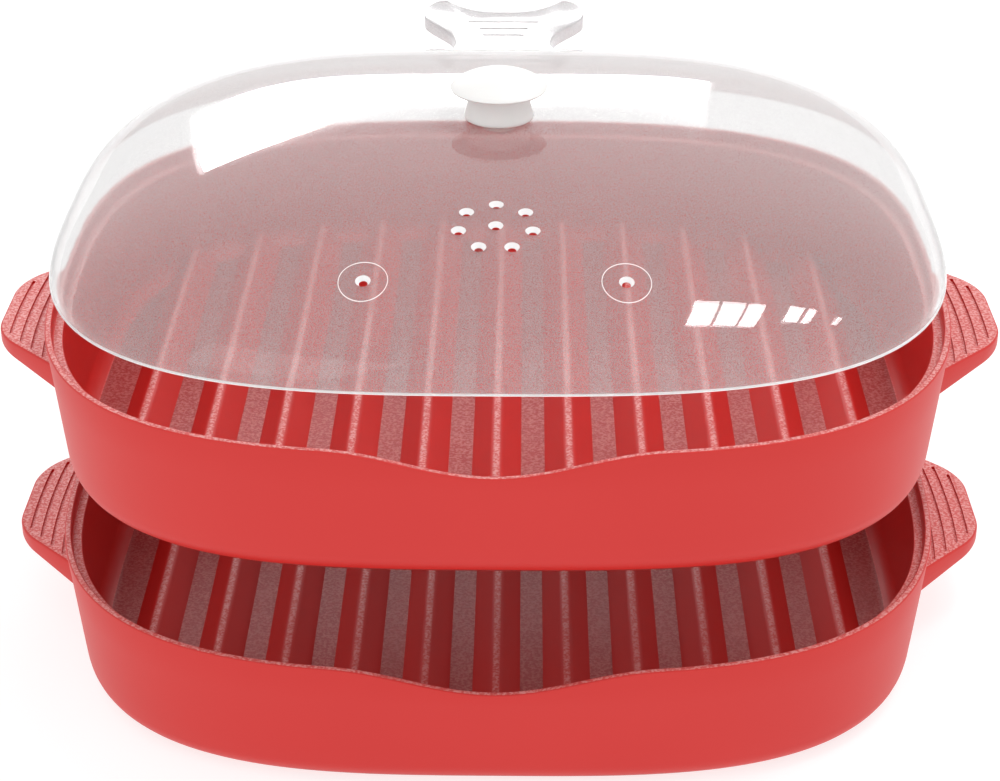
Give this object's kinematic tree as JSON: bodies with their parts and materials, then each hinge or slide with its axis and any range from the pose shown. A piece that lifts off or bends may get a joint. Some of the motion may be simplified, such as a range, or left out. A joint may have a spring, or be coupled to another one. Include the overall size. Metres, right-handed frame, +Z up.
{
  "type": "microwave cooking tray set",
  "caption": "Stacking red ridged microwave trays with side handles and a pouring dip, under a clear vented dome lid with a knob and a pull tab.",
  "frame": {"origin": "centre of the lower tray's flat base", "axes": "+X along the handles, +Y towards the lid's pull tab at the back, +Z up"},
  "size_m": [0.3154, 0.3005, 0.1793],
  "materials": {
    "tray_plastic": "red moulded plastic, smooth walls, fine grain on rim, ledge, handles, ridge crests and valleys",
    "lid_plastic": "clear moulded plastic, polished",
    "knob_plastic": "white moulded plastic, satin",
    "screw_nylon": "natural nylon"
  },
  "bodies": {
    "upper_tray": {"upper_tray": "tray_plastic"},
    "lower_tray": {"lower_tray": "tray_plastic"},
    "lid": {"lid": "lid_plastic", "knob": "knob_plastic", "knob_screw": "screw_nylon"}
  },
  "joints": [
    {"name": "tray_stack", "type": "slide", "parent": "upper_tray", "child": "lower_tray", "axis": [0, 0, 1], "range_m": [0, 0.0343]},
    {"name": "lid_lift", "type": "slide", "parent": "upper_tray", "child": "lid", "axis": [0, 0, 1], "range_m": [-0.0203, 0.06]}
  ]
}
